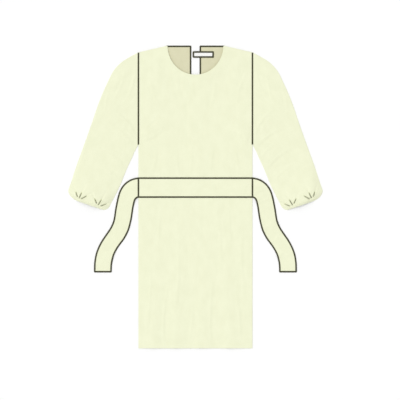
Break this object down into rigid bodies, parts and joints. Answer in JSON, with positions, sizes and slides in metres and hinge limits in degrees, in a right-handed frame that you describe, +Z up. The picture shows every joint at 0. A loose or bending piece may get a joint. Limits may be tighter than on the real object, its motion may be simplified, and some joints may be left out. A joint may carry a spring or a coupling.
{
  "type": "isolation gown",
  "caption": "Long-sleeved isolation gown of thin nonwoven cloth, laid flat, with open back, waist ties, gathered cuffs and a neck tab.",
  "frame": {"origin": "on the table under the middle of the laid-out gown, halfway between hem and neck", "axes": "+X towards the wearer's left sleeve, +Y from the hem to the neck, +Z up from the table through the back and then the front"},
  "size_m": [0.966, 1.15, 0.017],
  "materials": {
    "gown_cloth": "matt spun-bond nonwoven with fine bond points",
    "gown_inside": "matt inner face of the same nonwoven, darker",
    "tab_tape": "white woven hook-and-loop tape",
    "seam_thread": "dark olive overlock thread"
  },
  "bodies": {
    "root": {"front_panel": "gown_cloth", "belt": "gown_cloth", "back_panel_right": "gown_inside", "back_panel_left": "gown_inside", "sleeve_right": "gown_cloth", "sleeve_left": "gown_cloth", "tie_right": "gown_cloth", "tie_left": "gown_cloth", "neck_tab": "tab_tape"}
  },
  "joints": []
}
